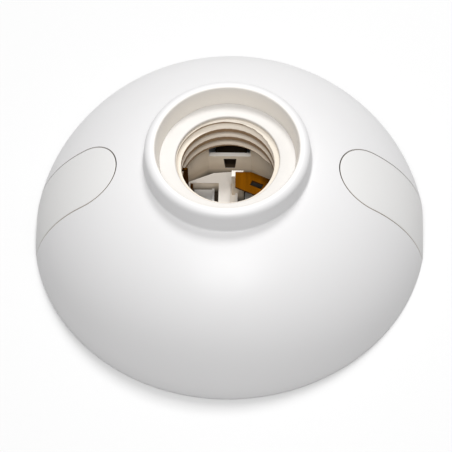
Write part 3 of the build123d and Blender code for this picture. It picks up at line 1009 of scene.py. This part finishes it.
class HOLDER_OT_covers(bpy.types.Operator):
    """Build the two covers over the fixing screws"""

    bl_idname = "holder.covers"
    bl_label = "Covers"

    def execute(self, context):
        material = cover_plastic()
        for side, turn in (("right", 0.0), ("left", pi)):
            cover = build_cover(f"{side}_cover_moulding", turn)
            place(cover, material, f"{side}_cover", f"{side}_screw_cover")
        return {"FINISHED"}


class HOLDER_OT_sleeve(bpy.types.Operator):
    """Build the cream sleeve with the lamp thread"""

    bl_idname = "holder.sleeve"
    bl_label = "Threaded sleeve"

    def execute(self, context):
        place(build_sleeve(), sleeve_plastic(), "holder", "socket_insert")
        return {"FINISHED"}


class HOLDER_OT_terminals(bpy.types.Operator):
    """Finish the terminal block, the contacts, the clamp plates and the screws"""

    bl_idname = "holder.terminals"
    bl_label = "Terminals"

    def execute(self, context):
        dress_node("terminal_block", block_plastic(), BLOCK_EDGE)
        brass = contact_brass()
        for node in ("centre_contact", "side_contact"):
            dress_node(node, brass, CONTACT_EDGE)
        steel = plated_steel()
        for side in ("left", "right"):
            dress_node(f"{side}_clamp_plate", steel, PLATE_EDGE)
            dress_node(f"{side}_terminal_screw", steel, SCREW_EDGE)
        dress_node("block_screws", steel, SCREW_EDGE)
        return {"FINISHED"}


# Stage

def camera_matrix():
    """Place and turn of the camera, from its angles about the lamp axis."""
    stage = bpy.context.scene.stage_settings
    level = stage.distance * cos(stage.elevation)
    place_at = Vector((level * sin(stage.azimuth), -level * cos(stage.azimuth),
                       stage.distance * sin(stage.elevation)))
    ahead = (Vector((stage.aim_x, stage.aim_y, 0.0)) - place_at).normalized()
    right = ahead.cross(Vector((0.0, 0.0, 1.0))).normalized()
    up = right.cross(ahead)
    rolled_right = right * cos(stage.roll) + up * sin(stage.roll)
    rolled_up = up * cos(stage.roll) - right * sin(stage.roll)
    turn = Matrix((rolled_right, rolled_up, -ahead)).transposed().to_4x4()
    return Matrix.Translation(place_at) @ turn


def seen_ray(tree):
    """One for rays that the camera sees, straight or by a reflection."""
    path = tree.nodes.new("ShaderNodeLightPath")
    return combined(tree, "MAXIMUM", path.outputs["Is Camera Ray"], path.outputs["Is Glossy Ray"])


def floor_material():
    """Pale floor that keeps the shadow, white to the camera and greyer to the light that it throws back."""
    stage = bpy.context.scene.stage_settings
    material, tree, diffuse = new_material("pale_floor", "ShaderNodeBsdfDiffuse")
    colours = tint(tree, seen_ray(tree), tuple(stage.floor_bounce), tuple(stage.floor_white))
    tree.links.new(colours, diffuse.inputs["Color"])
    return material


def soft_world():
    """Even surrounding light."""
    world = bpy.data.worlds.new("soft_world")
    world.use_nodes = True
    background = world.node_tree.nodes["Background"]
    background.inputs["Color"].default_value = (1.0, 1.0, 1.0, 1.0)
    background.inputs["Strength"].default_value = bpy.context.scene.stage_settings.ambient
    return world


def softbox(name, power, size, position):
    """Large square lamp that points at the lampholder."""
    light = bpy.data.lights.new(name, "AREA")
    light.energy = power
    light.size = size
    lamp = bpy.data.objects.new(name, light)
    lamp.location = position
    lamp.rotation_euler = (Vector(LAMP_AIM) - Vector(position)).to_track_quat("-Z", "Y").to_euler()
    bpy.context.scene.collection.objects.link(lamp)


class HOLDER_OT_stage(bpy.types.Operator):
    """Set up the floor, the lamps, the surrounding light and the camera"""

    bl_idname = "holder.stage"
    bl_label = "Stage"

    def execute(self, context):
        scene = context.scene
        stage = scene.stage_settings
        floor = add_object("floor", prism(circle(stage.floor_radius), -FLOOR_THICKNESS, 0.0))
        floor.data.materials.append(floor_material())
        scene.world = soft_world()
        softbox("front_softbox", stage.front, FRONT_SIZE, FRONT_PLACE)
        softbox("back_softbox", stage.back, BACK_SIZE, BACK_PLACE)
        lens = bpy.data.cameras.new("camera")
        lens.lens = stage.lens
        lens.sensor_width = SENSOR_WIDTH
        lens.clip_start = NEAREST_VIEW
        camera = bpy.data.objects.new("camera", lens)
        camera.matrix_world = camera_matrix()
        scene.collection.objects.link(camera)
        scene.camera = camera
        scene.view_settings.view_transform = "Standard"
        return {"FINISHED"}


class HOLDER_PT_panel(bpy.types.Panel):
    """Lists the steps that dress the lampholder"""

    bl_idname = "HOLDER_PT_panel"
    bl_label = "Lampholder"
    bl_space_type = "VIEW_3D"
    bl_region_type = "UI"
    bl_category = "Lampholder"

    def draw(self, context):
        for operator in steps:
            self.layout.operator(operator.bl_idname)


groups = {
    "holder_sizes": HolderSizes,
    "socket_sizes": SocketSizes,
    "holder_finish": HolderFinish,
    "stage_settings": StageSettings,
}
steps = (HOLDER_OT_dome, HOLDER_OT_covers, HOLDER_OT_sleeve, HOLDER_OT_terminals, HOLDER_OT_stage)


def register():
    """Registers the property groups, the operators and the panel."""
    for name, group in groups.items():
        bpy.utils.register_class(group)
        setattr(bpy.types.Scene, name, bpy.props.PointerProperty(type=group))
    for item in (*steps, HOLDER_PT_panel):
        bpy.utils.register_class(item)


def unregister():
    """Takes everything out again."""
    for item in (HOLDER_PT_panel, *reversed(steps)):
        bpy.utils.unregister_class(item)
    for name, group in groups.items():
        delattr(bpy.types.Scene, name)
        bpy.utils.unregister_class(group)


def main():
    """Runs every step in order."""
    register()
    bpy.ops.holder.dome()
    bpy.ops.holder.covers()
    bpy.ops.holder.sleeve()
    bpy.ops.holder.terminals()
    bpy.ops.holder.stage()


if __name__ == "__main__":
    main()
